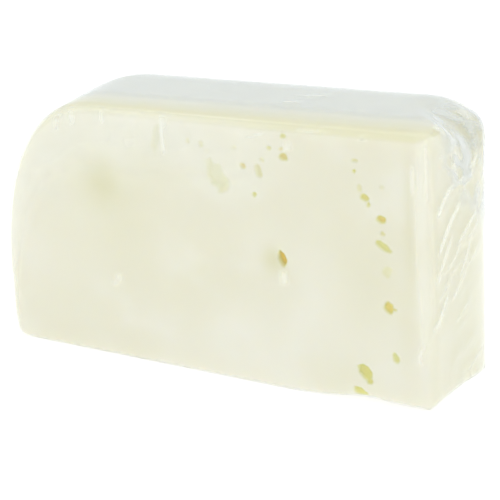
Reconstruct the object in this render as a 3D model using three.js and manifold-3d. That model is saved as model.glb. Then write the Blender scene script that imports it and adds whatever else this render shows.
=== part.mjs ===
// A wedge of pale, small-eyed cheese, wrapped in clear stretch film.
// Millimetres, +Z up. X runs along the long cut face, which looks towards -Y.
// The origin is at the middle of the underside of the film.
import * as THREE from "three";
import { mergeVertices } from "three/addons/utils/BufferGeometryUtils.js";
import Module from "manifold-3d";

const wasm = await Module();
wasm.setup();

// Overall sizes of the cheese.
const LENGTH = 138;
const DEPTH = 41;
const HEIGHT = 80;

// The narrow cut face splays outwards: it gains this much length for each millimetre of depth.
const END_SPLAY = 0.2;

// The rind's crown: the top falls away to the left end along one long curve, which takes up
// CROWN_RUN of the length and ends where the upright wall of the left end begins.
const CROWN_RUN = 40;
const LEFT_WALL = 7;
const CROWN_FULLNESS = 2.2;

// The top rounds over into the rind at the back.
const BACK_RUN = 19;
const BACK_DROP = 9.5;
const BACK_FULLNESS = 2.2;

// Rounding in plan, and of the edges.
const LEFT_CORNER_RADIUS = 24;
const RIGHT_CORNER_RADIUS = 19;
const CUT_EDGE_RADIUS = 1.5;
const BASE_EDGE_RADIUS = 2;

// Film: its modelled wall, its clearance to the cheese, and the seam left open underneath.
const FILM_WALL = 0.4;
const FILM_CLEARANCE = 0.3;
const SEAM_LENGTH = 70;
const SEAM_WIDTH = 3;

// Segments in each rounded corner, and around each eye.
const CROWN_STEPS = 22;
const BACK_STEPS = 10;
const CORNER_STEPS = 9;
const EDGE_STEPS = 3;
const EYE_AROUND = 14;
const EYE_RINGS = 8;

// Eyes in the cut face. `tip` is the distance from the right-hand edge of the face. `down` is
// measured from the top edge and `up` from the base. Sizes are whole widths, `deep` is the
// depth below the face, and `tilt` turns the eye in the face, in degrees.
const UPPER_EYES = [
  { tip: 59.6, down: 17.0, wide: 5.6, tall: 9.0, deep: 1.8, tilt: 24 },
  { tip: 77.2, down: 7.6, wide: 1.6, tall: 8.6, deep: 1.6, tilt: -24 },
  { tip: 67.4, down: 7.5, wide: 1.5, tall: 1.9, deep: 0.9, tilt: 0 },
  { tip: 63.4, down: 8.0, wide: 1.4, tall: 1.6, deep: 0.9, tilt: 0 },
  { tip: 51.2, down: 13.0, wide: 1.6, tall: 2.0, deep: 1.2, tilt: 0 },
  { tip: 46.3, down: 12.2, wide: 1.8, tall: 2.6, deep: 1.3, tilt: 30 },
  { tip: 39.2, down: 9.0, wide: 1.7, tall: 2.1, deep: 1.3, tilt: 0 },
  { tip: 43.1, down: 7.1, wide: 1.2, tall: 1.5, deep: 0.8, tilt: 0 },
  { tip: 39.0, down: 3.2, wide: 1.3, tall: 1.5, deep: 0.8, tilt: 0 },
  { tip: 48.7, down: 20.7, wide: 1.2, tall: 1.4, deep: 0.8, tilt: 0 },
  { tip: 42.3, down: 38.9, wide: 2.6, tall: 4.2, deep: 2.2, tilt: 8 },
  { tip: 19.4, down: 8.3, wide: 1.3, tall: 1.6, deep: 0.9, tilt: 0 },
  { tip: 18.7, down: 15.8, wide: 1.2, tall: 1.5, deep: 0.8, tilt: 0 },
  { tip: 17.2, down: 17.8, wide: 1.1, tall: 1.3, deep: 0.7, tilt: 0 },
  { tip: 16.2, down: 19.6, wide: 1.1, tall: 1.3, deep: 0.7, tilt: 0 },
  { tip: 12.9, down: 23.6, wide: 1.6, tall: 2.0, deep: 1.2, tilt: 0 },
  { tip: 12.7, down: 27.5, wide: 1.2, tall: 1.5, deep: 0.8, tilt: 0 },
  { tip: 12.9, down: 30.8, wide: 1.2, tall: 3.0, deep: 0.9, tilt: -38 },
];
const LOWER_EYES = [
  { tip: 12.4, up: 41.5, wide: 1.2, tall: 1.5, deep: 0.6, tilt: 0 },
  { tip: 11.7, up: 31.1, wide: 1.7, tall: 2.2, deep: 1.3, tilt: 0 },
  { tip: 10.5, up: 16.5, wide: 1.4, tall: 1.8, deep: 0.9, tilt: 0 },
  { tip: 19.1, up: 10.1, wide: 3.2, tall: 3.8, deep: 1.6, tilt: -20 },
  { tip: 20.6, up: 3.7, wide: 3.4, tall: 3.2, deep: 1.8, tilt: 0 },
];

// A quarter of a superellipse round (cx, cy). It goes from the end of the first half-axis to
// the end of the second, with the half-axes given as vectors.
function roundedCorner(cx, cy, from, to, fullness, steps) {
  const points = [];
  for (let i = 0; i <= steps; i += 1) {
    const angle = ((i / steps) * Math.PI) / 2;
    const a = Math.cos(angle) ** (2 / fullness);
    const b = Math.sin(angle) ** (2 / fullness);
    points.push(new THREE.Vector2(cx + from[0] * a + to[0] * b, cy + from[1] * a + to[1] * b));
  }
  return points;
}

const CIRCLE = 2;

// How far left of the wedge an outline reaches when its left-hand side isn't meant to cut.
const CLEAR = 2 * LENGTH;

// X of the narrow cut face at a given Y, with the face moved out by `grow`.
function cutEnd(y, grow) {
  return LENGTH / 2 + END_SPLAY * (y + DEPTH / 2) + grow * Math.hypot(1, END_SPLAY);
}

// The crown and the left end seen from the front, in X and Z. It runs clear past the right.
function crownOutline(grow) {
  const left = -LENGTH / 2 - grow;
  const top = HEIGHT + grow;
  const base = -grow;
  const foot = BASE_EDGE_RADIUS + grow;
  const run = CROWN_RUN + grow;
  const drop = HEIGHT - LEFT_WALL + grow;
  return new THREE.Shape([
    new THREE.Vector2(CLEAR, base),
    new THREE.Vector2(CLEAR, top),
    ...roundedCorner(left + run, top - drop, [0, drop], [-run, 0], CROWN_FULLNESS, CROWN_STEPS),
    ...roundedCorner(left + foot, base + foot, [-foot, 0], [0, -foot], CIRCLE, EDGE_STEPS),
  ]);
}

// The narrow cut face's upper and lower edges, in X at Y = 0 and Z. It runs clear past the left.
function cutEndOutline(grow) {
  const right = cutEnd(0, grow);
  const top = HEIGHT + grow;
  const base = -grow;
  const edge = CUT_EDGE_RADIUS + grow;
  const foot = BASE_EDGE_RADIUS + grow;
  return new THREE.Shape([
    new THREE.Vector2(-CLEAR, base),
    ...roundedCorner(right - foot, base + foot, [0, -foot], [foot, 0], CIRCLE, EDGE_STEPS),
    ...roundedCorner(right - edge, top - edge, [edge, 0], [0, edge], CIRCLE, EDGE_STEPS),
    new THREE.Vector2(-CLEAR, top),
  ]);
}

// The outline seen from the right-hand end, in Y and Z.
function endOutline(grow) {
  const back = DEPTH / 2 + grow;
  const front = -DEPTH / 2 - grow;
  const top = HEIGHT + grow;
  const base = -grow;
  const edge = CUT_EDGE_RADIUS + grow;
  const foot = BASE_EDGE_RADIUS + grow;
  const run = BACK_RUN + grow;
  const drop = BACK_DROP + grow;
  return new THREE.Shape([
    ...roundedCorner(back - foot, base + foot, [0, -foot], [foot, 0], CIRCLE, EDGE_STEPS),
    ...roundedCorner(back - run, top - drop, [run, 0], [0, drop], BACK_FULLNESS, BACK_STEPS),
    ...roundedCorner(front + edge, top - edge, [0, edge], [-edge, 0], CIRCLE, EDGE_STEPS),
    ...roundedCorner(front + foot, base + foot, [-foot, 0], [0, -foot], CIRCLE, EDGE_STEPS),
  ]);
}

// The outline seen from above, in X and Y. The corners of the splayed face are sheared with it.
function planOutline(grow) {
  const left = -LENGTH / 2 - grow;
  const back = DEPTH / 2 + grow;
  const front = -DEPTH / 2 - grow;
  const edge = CUT_EDGE_RADIUS + grow;
  const near = { x: cutEnd(front + edge, grow) - edge, y: front + edge };
  const farRadius = RIGHT_CORNER_RADIUS + grow;
  const far = { x: cutEnd(back - farRadius, grow) - farRadius, y: back - farRadius };
  const shear = (reach) => [END_SPLAY * reach, reach];
  const turn = LEFT_CORNER_RADIUS + grow;
  return new THREE.Shape([
    ...roundedCorner(near.x, near.y, shear(-edge), [edge, 0], CIRCLE, EDGE_STEPS),
    ...roundedCorner(far.x, far.y, [farRadius, 0], shear(farRadius), CIRCLE, CORNER_STEPS),
    ...roundedCorner(left + turn, back - turn, [0, turn], [-turn, 0], CIRCLE, CORNER_STEPS),
    ...roundedCorner(left + edge, front + edge, [-edge, 0], [0, -edge], CIRCLE, EDGE_STEPS),
  ]);
}

const ALONG_X = new THREE.Vector3(1, 0, 0);
const ALONG_Y = new THREE.Vector3(0, 1, 0);
const ALONG_Z = new THREE.Vector3(0, 0, 1);
const BACKWARDS_Y = new THREE.Vector3(0, -1, 0);
const BACKWARDS_SPLAY = new THREE.Vector3(-END_SPLAY, -1, 0);

// A closed three.js geometry as a manifold-3d solid.
function solidOf(geometry) {
  geometry.deleteAttribute("normal");
  geometry.deleteAttribute("uv");
  const merged = mergeVertices(geometry, 1e-4);
  return new wasm.Manifold(
    new wasm.Mesh({
      numProp: 3,
      vertProperties: new Float32Array(merged.attributes.position.array),
      triVerts: new Uint32Array(merged.index.array),
    }),
  );
}

// A manifold-3d solid as a three.js geometry with flat faces.
function geometryOf(solid) {
  const mesh = solid.getMesh();
  const geometry = new THREE.BufferGeometry();
  geometry.setAttribute("position", new THREE.BufferAttribute(mesh.vertProperties, 3));
  geometry.setIndex(new THREE.BufferAttribute(mesh.triVerts, 1));
  const flat = geometry.toNonIndexed();
  flat.computeVertexNormals();
  return flat;
}

// An outline in the plane of the first two axes, swept both ways along the third.
function swept(outline, first, second, third) {
  const depth = 2 * CLEAR;
  const geometry = new THREE.ExtrudeGeometry(outline, { depth, bevelEnabled: false, steps: 1 });
  geometry.translate(0, 0, -depth / 2);
  geometry.applyMatrix4(new THREE.Matrix4().makeBasis(first, second, third));
  return solidOf(geometry);
}

// The whole block with every face moved out by `grow`: what the four outlines have in common.
function block(grow) {
  const fromFront = swept(crownOutline(grow), ALONG_X, ALONG_Z, BACKWARDS_Y);
  const alongSplay = swept(cutEndOutline(grow), ALONG_X, ALONG_Z, BACKWARDS_SPLAY);
  const fromEnd = swept(endOutline(grow), ALONG_Y, ALONG_Z, ALONG_X);
  const fromAbove = swept(planOutline(grow), ALONG_X, ALONG_Y, ALONG_Z);
  return fromFront.intersect(alongSplay).intersect(fromEnd).intersect(fromAbove);
}

// One eye: an ellipsoid centred on the cut face, `height` above the base.
function eye({ tip, wide, tall, deep, tilt }, height) {
  const geometry = new THREE.SphereGeometry(1, EYE_AROUND, EYE_RINGS);
  geometry.scale(wide / 2, deep, tall / 2);
  geometry.rotateY(THREE.MathUtils.degToRad(tilt));
  geometry.translate(LENGTH / 2 - tip, -DEPTH / 2, height);
  return solidOf(geometry);
}

// The cheese, with its eyes cut into the long face.
function cheese() {
  const upper = UPPER_EYES.map((one) => eye(one, HEIGHT - one.down));
  const lower = LOWER_EYES.map((one) => eye(one, one.up));
  return [...upper, ...lower].reduce((solid, one) => solid.subtract(one), block(0));
}

// The film: a thin shell round the cheese, open underneath where its edges come together.
function filmWrap() {
  const shell = block(FILM_CLEARANCE + FILM_WALL).subtract(block(FILM_CLEARANCE));
  const seam = new THREE.BoxGeometry(SEAM_LENGTH, SEAM_WIDTH, 2 * FILM_WALL);
  seam.translate(0, 0, -FILM_CLEARANCE - FILM_WALL / 2);
  return shell.subtract(solidOf(seam));
}

// A named mesh of a solid, moved by `shift`.
function named(name, solid, material, shift) {
  const geometry = geometryOf(solid);
  geometry.translate(shift.x, shift.y, shift.z);
  const mesh = new THREE.Mesh(geometry, material);
  mesh.name = name;
  return mesh;
}

// The move that brings the middle of a solid's underside to the origin.
function toOrigin(solid) {
  const { min, max } = solid.boundingBox();
  return new THREE.Vector3(-(min[0] + max[0]) / 2, -(min[1] + max[1]) / 2, -min[2]);
}

const ivory = new THREE.MeshStandardMaterial({ color: 0xf1efd9, roughness: 0.55, metalness: 0 });
const clearFilm = new THREE.MeshStandardMaterial({
  color: 0xf4f7f8,
  roughness: 0.12,
  metalness: 0,
  transparent: true,
  opacity: 0.25,
});

const film = filmWrap();
const shift = toOrigin(film);
const wrappedCheese = new THREE.Group();
wrappedCheese.name = "wrapped_cheese_wedge";
wrappedCheese.add(
  named("cheese", cheese(), ivory, shift),
  named("film_wrap", film, clearFilm, shift),
);

export default wrappedCheese;
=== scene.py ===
"""A wedge of pale, small-eyed cheese, pulled tight in clear stretch film, on a plain floor.

The wedge is a slab cut from a low wheel. Its long front face and its narrow right-hand face are
cut; the top, the left-hand end and the back are rind. Both the cheese and the film are surfaces
worked out on a grid: a closed profile in Y and Z, carried along X. Sizes are in millimetres
until a mesh is made, and the origin is at the middle of the underside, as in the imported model.
"""

import logging
import math
from dataclasses import dataclass
from enum import Enum
from typing import Callable

import bpy
import numpy as np
from mathutils import Matrix, Vector


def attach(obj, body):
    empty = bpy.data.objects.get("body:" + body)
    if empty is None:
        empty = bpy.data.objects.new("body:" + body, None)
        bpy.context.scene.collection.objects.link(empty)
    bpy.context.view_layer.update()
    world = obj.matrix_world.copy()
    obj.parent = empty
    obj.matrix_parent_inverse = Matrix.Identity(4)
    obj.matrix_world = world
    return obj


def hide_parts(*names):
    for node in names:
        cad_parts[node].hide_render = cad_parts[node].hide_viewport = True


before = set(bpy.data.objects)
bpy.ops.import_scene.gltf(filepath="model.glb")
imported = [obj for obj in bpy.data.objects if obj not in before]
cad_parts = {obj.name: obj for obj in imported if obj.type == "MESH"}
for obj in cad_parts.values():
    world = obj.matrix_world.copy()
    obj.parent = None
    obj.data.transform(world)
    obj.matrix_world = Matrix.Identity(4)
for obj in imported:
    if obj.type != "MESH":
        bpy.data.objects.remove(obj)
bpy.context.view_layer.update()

log = logging.getLogger("cheese_wedge")

MM = 0.001
# A least length, which keeps a division by zero away.
TINY = 1e-9
# Steps along the crown's curve, in a table to look up, and round the rim of the right-hand end.
CURVE_STEPS = 1500
LOOKUP_STEPS = 4000
RIM_STEPS = 6
# One and two over the square root of three, nearly: they make a grid's triangles equilateral.
TRIANGLE_SLANT = 0.577
TRIANGLE_STRETCH = 1.155
Array = np.ndarray
Span = tuple[float, float]
Colour = tuple[float, float, float, float]


# ---------------------------------------------------------------------------------------------
# Small mathematics
# ---------------------------------------------------------------------------------------------


def smooth_step(low: float, high: float, value: Array) -> Array:
    """A smooth rise from 0 at low to 1 at high: 3t^2 - 2t^3 of the clipped share.

    Args:
        low: Where the rise starts.
        high: Where it ends. It may be below low, which gives a fall.
        value: The values to look up.

    Returns:
        The rise at each value.
    """
    share = np.clip((value - low) / (high - low), 0.0, 1.0)
    return share * share * (3.0 - 2.0 * share)


def rounded(a: Array, b: Array, radius: Array) -> tuple[Array, Array]:
    """Pulls places out of a square edge onto a quarter circle round it.

    Args:
        a: Distance inside the first face, for each place.
        b: Distance inside the second face.
        radius: The rounding's radius at each place.

    Returns:
        The two distances after the pull. Places away from the edge keep theirs.
    """
    over_a, over_b = radius - a, radius - b
    reach = np.hypot(over_a, over_b)
    outside = (over_a > 0.0) & (over_b > 0.0) & (reach > radius)
    share = radius / np.maximum(reach, TINY)
    return (
        np.where(outside, radius - over_a * share, a),
        np.where(outside, radius - over_b * share, b),
    )


def lattice_values(corner: Array, seed: int) -> Array:
    """A repeatable random number from -1 to 1 for each whole-number lattice corner.

    The three coordinates are multiplied by large odd numbers and mixed bit by bit.

    Args:
        corner: Whole coordinates, one row per corner.
        seed: Chooses the pattern.

    Returns:
        One number for each row.
    """
    mixed = (corner[:, 0] * 73856093) ^ (corner[:, 1] * 19349663) ^ (corner[:, 2] * 83492791)
    mixed = mixed ^ (seed * 26544357)
    mixed = (mixed ^ (mixed >> 13)) * 1274126177
    mixed = mixed ^ (mixed >> 16)
    return (mixed & 0xFFFFFF) / float(0x7FFFFF) - 1.0


def lattice_noise(points: Array, cell: float, seed: int) -> Array:
    """Smooth noise: random values at the corners of cubes, blended inside each cube.

    Args:
        points: Places in millimetres, one row each.
        cell: The side of a cube, in millimetres.
        seed: Chooses the pattern.

    Returns:
        The noise at each place, from -1 to 1.
    """
    scaled = points / cell
    base = np.floor(scaled).astype(np.int64)
    share = scaled - base
    share = share * share * (3.0 - 2.0 * share)
    total = np.zeros(len(points))
    for step in np.ndindex(2, 2, 2):
        weight = np.prod(np.where(step, share, 1.0 - share), axis=1)
        total += weight * lattice_values(base + np.array(step), seed)
    return total


def layered_noise(points: Array, cell: float, seed: int, layers: int = 3) -> Array:
    """Noise with finer detail: each layer has half the cell and half the height of the last.

    Args:
        points: Places in millimetres, one row each.
        cell: The largest cell, in millimetres.
        seed: Chooses the pattern.
        layers: How many layers are added up.

    Returns:
        The noise at each place, about -1 to 1.
    """
    total = np.zeros(len(points))
    for layer in range(layers):
        total += lattice_noise(points, cell / 2**layer, seed + layer) / 2**layer
    return total / (2.0 - 0.5 ** (layers - 1))


def facets(a: Array, b: Array, cell: float, seed: int) -> Array:
    """Flat facets with sharp folds between them: heights at the corners of a grid of triangles.

    The two coordinates are slanted so that the triangles are nearly equilateral. Inside a
    triangle the height runs straight between its corners.

    Args:
        a: First coordinate.
        b: Second coordinate.
        cell: Side of a triangle.
        seed: Chooses the corner heights.

    Returns:
        Values from -1 to 1.
    """
    across, along = (a - TRIANGLE_SLANT * b) / cell, TRIANGLE_STRETCH * b / cell
    column, row = np.floor(across), np.floor(along)
    u, v = across - column, along - row
    upper = (u + v > 1.0).astype(float)

    def corner(step_a: float | Array, step_b: float | Array) -> Array:
        """Height at the corner this many steps away."""
        place = np.stack([column + step_a, row + step_b, 0.0 * row], axis=-1)
        return lattice_values(place.astype(np.int64), seed)

    start = corner(upper, upper)
    side, other = corner(1.0, 0.0), corner(0.0, 1.0)
    share_side = np.where(upper > 0.0, 1.0 - v, u)
    share_other = np.where(upper > 0.0, 1.0 - u, v)
    return start * (1.0 - share_side - share_other) + side * share_side + other * share_other


def spaced(start: float, end: float, count: int, density: Callable[[Array], Array]) -> Array:
    """Positions that lie closer together where the density is higher.

    The running total of the density is cut into equal steps, and each step is looked up.

    Args:
        start: The first position.
        end: The last position.
        count: How many positions.
        density: The wanted closeness at each position.

    Returns:
        The positions, from start to end.
    """
    fine = np.linspace(start, end, LOOKUP_STEPS)
    closeness = density(fine)
    total = np.concatenate([[0.0], np.cumsum((closeness[1:] + closeness[:-1]) / 2.0)])
    return np.interp(np.linspace(0.0, total[-1], count), total, fine)


def plateau(span: Span, value: Array, edge: float = 2.0) -> Array:
    """1 inside a span, with a smooth fall to 0 outside each of its ends.

    Args:
        span: Where the level stretch starts and ends.
        value: The values to look up.
        edge: Width of each fall.

    Returns:
        The level at each value.
    """
    low, high = span
    return smooth_step(low - edge, low, value) * smooth_step(high + edge, high, value)


def shares(count: int) -> Array:
    """Even shares from 0 up to, and without, 1, as one row."""
    return np.linspace(0.0, 1.0, count, endpoint=False)[None, :]


def quarter_turn(count: int) -> Array:
    """Even angles from 0 up to, and without, a right angle, as one row."""
    return np.linspace(0.0, math.pi / 2.0, count, endpoint=False)[None, :]


# ---------------------------------------------------------------------------------------------
# The wedge's form, shared by the cheese and the film
# ---------------------------------------------------------------------------------------------


@dataclass(frozen=True)
class ProfileCounts:
    """How many points each stretch of the profile gets.

    Attributes:
        front: Up the long cut face.
        top: Along the level top.
        fall: Round the top's fall to the back.
        back: Down the back.
        base: Along the underside.
        corner: Round each of the three tight corners.
    """

    front: int
    top: int
    fall: int
    back: int
    base: int
    corner: int = 4


@dataclass(frozen=True)
class WedgeForm:
    """The wedge's outer form: a profile in Y and Z that changes along X. Millimetres.

    Attributes:
        length: Length of the long cut face.
        depth: From the long cut face to the back.
        height: From the base to the level top.
        middle: X of the middle of the wrapped wedge, when the long face is centred.
        lift: Height of the cheese's base above the floor.
        splay: X gained by the narrow cut face for each millimetre of depth.
        crown_run: Length over which the top falls away to the left.
        left_wall: Height of the upright wall at the far left.
        crown_fullness: The superellipse power of that fall.
        back_run: Depth over which the top falls to the back.
        back_drop: How far it falls there.
        back_fullness: The superellipse power of that fall.
        left_corner: Radius in plan of the far left corner.
        right_corner: Radius in plan of the far right corner.
        cut_edge: Radius of the edges round the cut faces.
        crown_edge: Radius of the long face's edge where the crown is steep.
        base_edge: Radius of the lower edges.
        least_foot: What is left of that radius where the ends round in.
        top_edge: Radius of the long face's level top edge.
        near_rim: Radius of the narrow face's top edge at the front.
        far_rim: How much larger that radius is at the back.
        cut_corner: Radius of the upright edge between the two cut faces.
        end_foot: Radius of the narrow face's lower edge.
        left_foot: Radius of the left end's lower edge.
        left_flare: How far the left end's foot spreads.
        corner_lift: How far the right front foot is worn away.
        base_hollow: How far the front's lower edge rises beside that foot.
        lean_start: Distance from the right-hand end at which the lean of that end starts.
        crown_steep: Distance from the left end within which the crown is fully steep.
        end_share: Greatest share of an end's rounding by which its profiles shrink.
        run_share: Greatest share of the depth that the fall to the back takes.
        drop_share: Greatest share of the height that it takes.
        rim_growth: Distances back between which the narrow face's top edge grows rounder.
        flare_reach: How far along the length the left foot's flare goes.
        flare_height: Heights between which it comes in.
        lift_along: Distances from the right-hand end between which the foot is worn away.
        lift_inward: Distances back between which it is worn away.
        lift_height: Heights between which that wear comes in.
        hollow_place: Distance from the right-hand end to the middle of the hollow beside it.
        hollow_reach: How far that hollow goes to either side.
        hollow_inward: Distances back between which the hollow comes in.
    """

    length: float = 138.0
    depth: float = 41.0
    height: float = 80.0
    middle: float = 2.4
    lift: float = 0.5
    splay: float = 0.2
    crown_run: float = 40.0
    left_wall: float = 7.0
    crown_fullness: float = 2.2
    back_run: float = 19.0
    back_drop: float = 9.5
    back_fullness: float = 2.2
    left_corner: float = 24.0
    right_corner: float = 19.0
    cut_edge: float = 1.5
    crown_edge: float = 3.2
    base_edge: float = 1.2
    least_foot: float = 0.2
    top_edge: float = 2.6
    near_rim: float = 1.8
    far_rim: float = 17.0
    cut_corner: float = 3.4
    end_foot: float = 3.0
    left_foot: float = 5.0
    left_flare: float = 1.4
    corner_lift: float = 2.1
    base_hollow: float = 0.6
    lean_start: float = 64.0
    crown_steep: float = 8.0
    end_share: float = 0.9
    run_share: float = 0.8
    drop_share: float = 0.55
    rim_growth: Span = (3.0, 24.0)
    flare_reach: float = 26.0
    flare_height: Span = (22.0, 6.0)
    lift_along: Span = (44.0, 15.0)
    lift_inward: Span = (29.0, 8.0)
    lift_height: Span = (16.0, 0.0)
    hollow_place: float = 20.0
    hollow_reach: float = 7.0
    hollow_inward: Span = (22.0, 8.0)

    @property
    def right(self) -> float:
        """X of the narrow cut face."""
        return self.length / 2.0

    @property
    def left(self) -> float:
        """X of the rind at the far left."""
        return -self.length / 2.0

    @property
    def front(self) -> float:
        """Y of the long cut face."""
        return -self.depth / 2.0

    @property
    def back(self) -> float:
        """Y of the rind at the back."""
        return self.depth / 2.0

    def crown(self, x: Array, grow: float) -> Array:
        """Height of the top above the cheese's base: level, then a superellipse quarter down.

        Args:
            x: Places along the length.
            grow: How far the surface stands off the cheese.

        Returns:
            The height at each place.
        """
        run = self.crown_run + grow
        drop = self.height - self.left_wall + grow
        share = np.clip((self.left + self.crown_run - x) / run, 0.0, 1.0)
        rise = (1.0 - share**self.crown_fullness) ** (1.0 / self.crown_fullness)
        return self.height + grow - drop * (1.0 - rise)

    def rear(self, x: Array, grow: float) -> Array:
        """Y of the back: straight, then a quarter circle round each far corner.

        Args:
            x: Places along the length.
            grow: How far the surface stands off the cheese.

        Returns:
            The back's Y at each place.
        """
        y = np.full_like(x, self.back + grow)
        for radius, over in (
            (self.left_corner + grow, self.left + self.left_corner - x),
            (self.right_corner + grow, x - (self.right - self.right_corner)),
        ):
            past = np.clip(over, 0.0, radius)
            y -= radius - np.sqrt(radius**2 - past**2)
        return y

    def stations(self, count: int, grow: float, density: Callable[[Array], Array]) -> Array:
        """Places along X for the profiles, even along the crown's curve.

        Args:
            count: How many places.
            grow: How far the surface stands off the cheese.
            density: Extra closeness wanted at each X.

        Returns:
            The places, from the left end to the right end.
        """
        turn = np.linspace(0.0, math.pi / 2.0, CURVE_STEPS)
        bend = self.left + self.crown_run
        x = bend - (self.crown_run + grow) * np.cos(turn) ** (2.0 / self.crown_fullness)
        level = np.linspace(bend, self.right + grow, CURVE_STEPS)[1:]
        x = np.concatenate([x, level])
        z = self.crown(x, grow)
        length = np.concatenate([[0.0], np.cumsum(np.hypot(np.diff(x), np.diff(z)))])
        along = spaced(0.0, length[-1], count, lambda s: density(np.interp(s, length, x)))
        places = np.interp(along, length, x)
        rim = self.cut_edge + grow
        turn = np.linspace(0.0, math.pi / 2.0, RIM_STEPS)[1:]
        places = places[places < self.right + grow - rim]
        return np.concatenate([places, self.right + grow - rim + rim * np.sin(turn)])

    def profiles(self, x: Array, rows: Array, counts: ProfileCounts, grow: float) -> Array:
        """The closed profile at each station: front, top, back and base, with rounded corners.

        Each corner is a quarter circle, and the top's fall to the back is a superellipse
        quarter. Near either end the whole profile shrinks along a quarter circle, which rounds
        the edges of the end faces.

        Args:
            x: Stations along the length.
            rows: Shares from 0 to 1 up the front face, one for each point of it.
            counts: Points in each stretch.
            grow: How far the surface stands off the cheese.

        Returns:
            Points of shape stations by profile by 3.
        """
        x = x[:, None]
        rim = self.cut_edge + grow
        near = np.minimum(x - (self.left - grow), self.right + grow - x)
        inset = rim - np.sqrt(np.maximum(rim**2 - np.clip(rim - near, 0.0, rim) ** 2, 0.0))
        inset = np.minimum(inset, self.end_share * rim)
        front = self.front - grow + inset
        back = self.rear(x, grow) - inset
        base = -grow + inset
        top = self.crown(x, grow) - inset
        steep = smooth_step(self.left + self.crown_run, self.left + self.crown_steep, x)
        edge = self.top_edge + steep * (self.crown_edge - self.top_edge) + grow - inset
        foot = np.maximum(self.base_edge + grow - inset, self.least_foot)
        run = np.minimum(self.back_run + grow, self.run_share * (back - front))
        drop = np.minimum(self.back_drop + grow, self.drop_share * (top - base))
        corner, fall = quarter_turn(counts.corner), quarter_turn(counts.fall)
        level, down, home = shares(counts.top), shares(counts.back), shares(counts.base)
        bend = 2.0 / self.back_fullness
        low, high = base + foot, top - edge
        stretches = [
            (front + foot * (1.0 - np.sin(corner)), low - foot * np.cos(corner)),
            (front + 0.0 * rows[None, :], low + (high - low) * rows[None, :]),
            (front + edge * (1.0 - np.cos(corner)), high + edge * np.sin(corner)),
            (front + edge + (back - run - front - edge) * level, top + 0.0 * level),
            (back - run + run * np.sin(fall) ** bend, top - drop + drop * np.cos(fall) ** bend),
            (back + 0.0 * down, top - drop + (low - top + drop) * down),
            (back - foot * (1.0 - np.cos(corner)), base + foot * (1.0 - np.sin(corner))),
            (back - foot + (front + foot - back + foot) * home, base + 0.0 * home),
        ]
        y = np.concatenate([np.broadcast_to(a, (len(x), a.shape[1])) for a, _ in stretches], 1)
        z = np.concatenate([np.broadcast_to(b, (len(x), b.shape[1])) for _, b in stretches], 1)
        return np.stack([np.broadcast_to(x, y.shape), y, z + self.lift], axis=-1)

    def splayed(self, points: Array) -> Array:
        """Leans the right-hand end outwards with depth, as the narrow face is cut askew.

        Args:
            points: Points of the square-cut block, one row each.

        Returns:
            The points, sheared along X towards the right-hand end only.
        """
        start, end = self.right - self.lean_start, self.right - self.right_corner
        share = smooth_step(start, end, points[:, 0])
        moved = points.copy()
        moved[:, 0] += self.splay * (points[:, 1] - self.front) * share
        return moved

    def fallen(self, y: Array, grow: float) -> Array:
        """How far the top has fallen towards the back.

        Args:
            y: Places across the depth.
            grow: How far the surface stands off the cheese.

        Returns:
            The fall at each place.
        """
        run, drop = self.back_run + grow, self.back_drop + grow
        share = np.clip((y - (self.back + grow - run)) / run, 0.0, 1.0)
        return drop * (1.0 - (1.0 - share**self.back_fullness) ** (1.0 / self.back_fullness))

    def worn(self, points: Array, grow: float) -> Array:
        """Softens the block's edges, flares its left foot and lifts its right front foot.

        The top edge of the narrow face is rounded more towards the back. The edge between the
        two cut faces, and the lower edges of both ends, get an even rounding.

        Args:
            points: Points of the splayed block, one row each.
            grow: How far the surface stands off the cheese.

        Returns:
            The moved points.
        """
        x, y, z = points.T.copy()
        inward, up = y - self.front, z - self.lift
        slant = math.hypot(1.0, self.splay)
        end = self.right + self.splay * inward + grow * slant
        ceiling = self.crown(x, grow) - self.fallen(y, grow)
        upper = self.near_rim + self.far_rim * smooth_step(*self.rim_growth, inward) + grow
        a, b = rounded(end - x, ceiling - up, upper)
        x, up = end - a, ceiling - b
        a, b = rounded(end - x, inward + grow, np.full_like(x, self.cut_corner + grow))
        x, inward = end - a, b - grow
        a, b = rounded(end - x, up + grow, np.full_like(x, self.end_foot + grow))
        x, up = end - a, b - grow
        wall = self.left - grow
        a, b = rounded(x - wall, up + grow, np.full_like(x, self.left_foot + grow))
        x, up = wall + a, b - grow
        near_wall = smooth_step(wall + self.flare_reach, wall, x)
        x -= self.left_flare * smooth_step(*self.flare_height, up) * near_wall
        from_tip = self.right - x
        lifted = smooth_step(*self.lift_along, from_tip) * smooth_step(*self.lift_inward, inward)
        beside = np.exp(-(((from_tip - self.hollow_place) / self.hollow_reach) ** 2))
        hollow = beside * smooth_step(*self.hollow_inward, inward)
        raised = self.corner_lift * lifted + self.base_hollow * hollow
        up += raised * smooth_step(*self.lift_height, up)
        return np.stack([x, self.front + inward, up + self.lift], axis=-1)


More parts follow.
